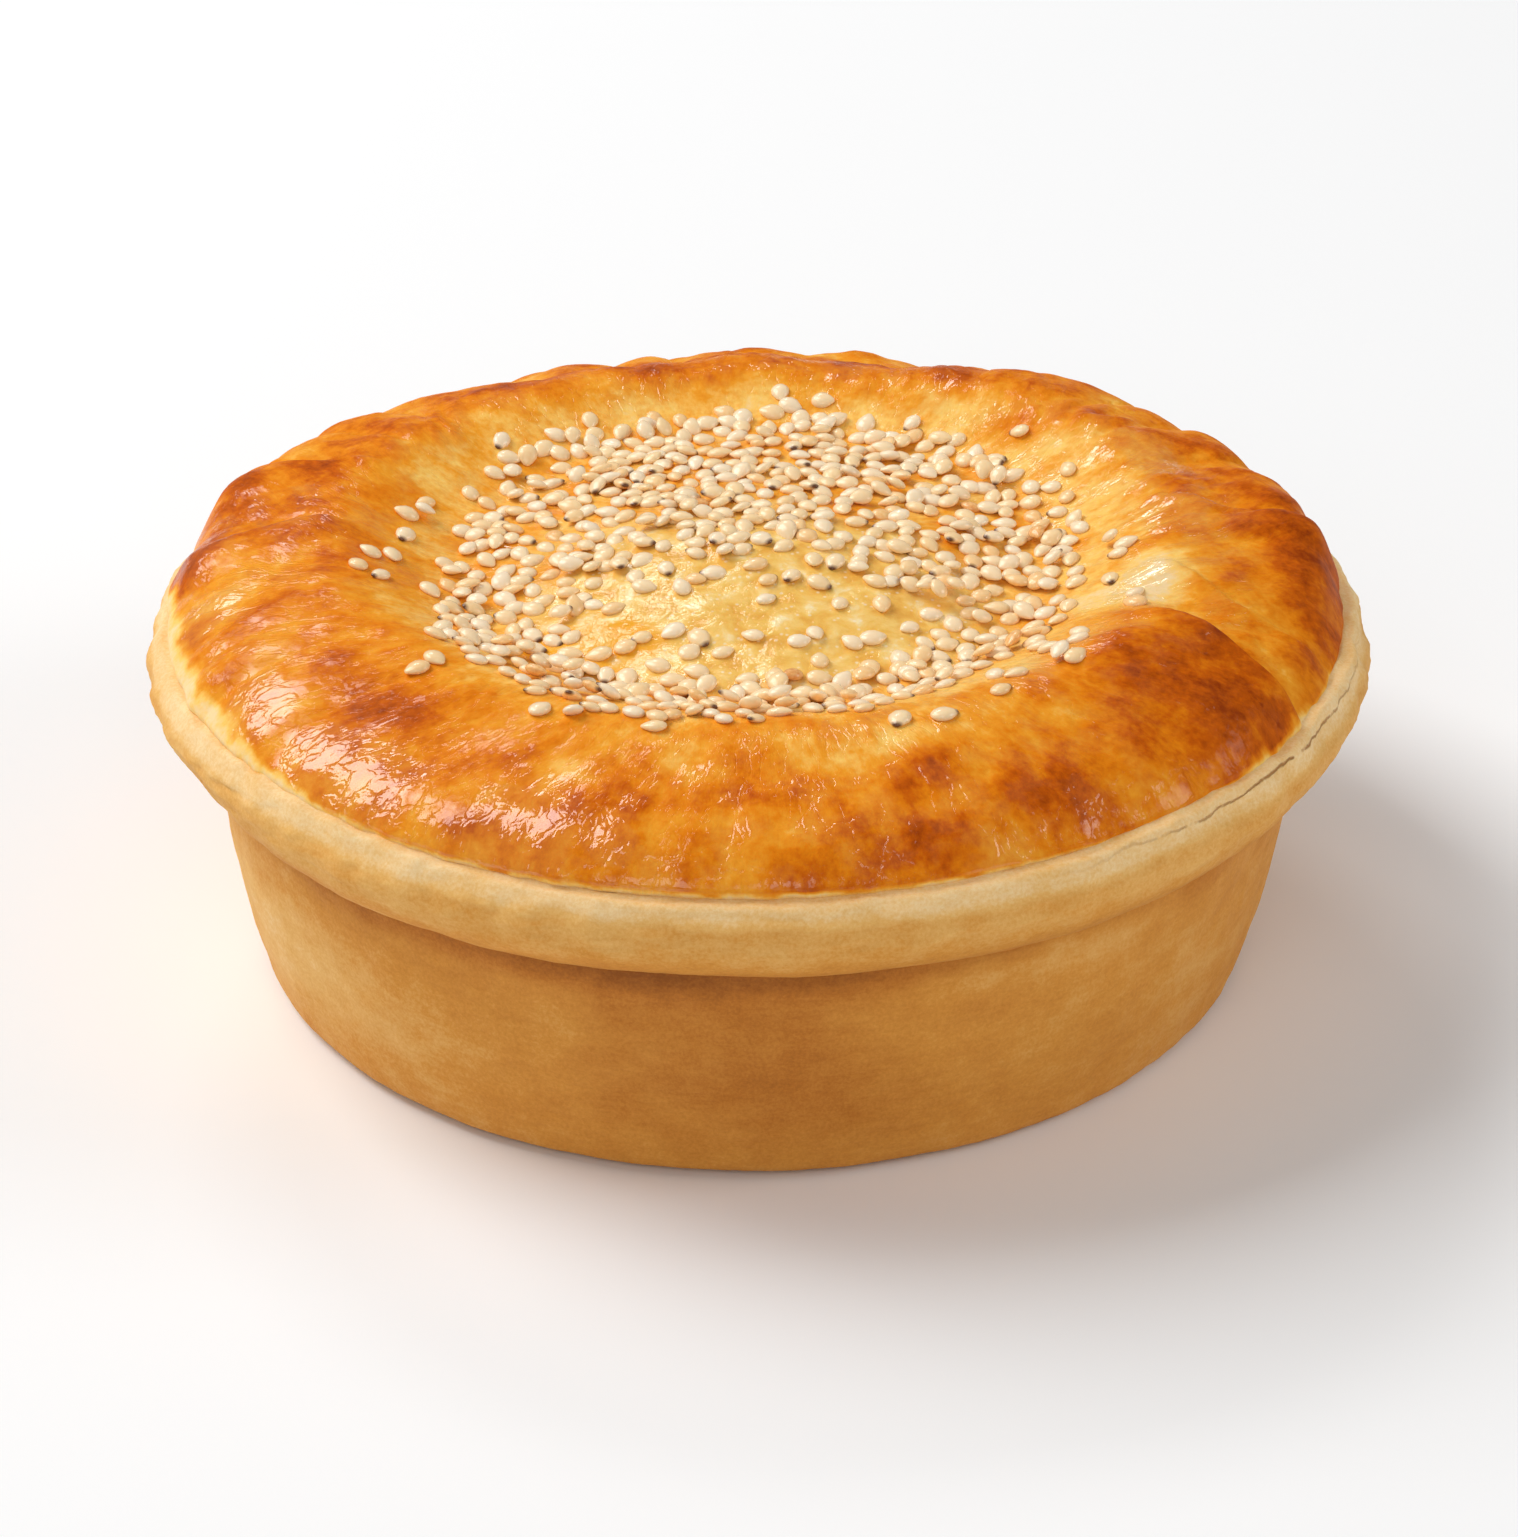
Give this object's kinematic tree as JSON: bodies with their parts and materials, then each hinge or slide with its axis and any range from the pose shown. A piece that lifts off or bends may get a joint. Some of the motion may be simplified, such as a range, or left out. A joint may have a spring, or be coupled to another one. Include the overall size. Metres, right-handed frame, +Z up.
{
  "type": "chicken pie",
  "caption": "Whole baked chicken pie, a raised pastry case with a rolled rim under a pleated egg-washed lid strewn with sesame seeds.",
  "frame": {"origin": "middle of the foot, on the surface that the pie stands on", "axes": "+Z up through the middle of the lid, -Y towards the front that the picture shows"},
  "size_m": [0.15, 0.1498, 0.0569],
  "materials": {
    "pastry": "matte baked pastry, pale under the rim and toasted on the wall",
    "crust": "glossy egg-washed crust, browned on its lobes",
    "seeds": "satin sesame seeds"
  },
  "bodies": {
    "root": {"pie_base": "pastry", "pie_lid": "crust"}
  },
  "joints": []
}
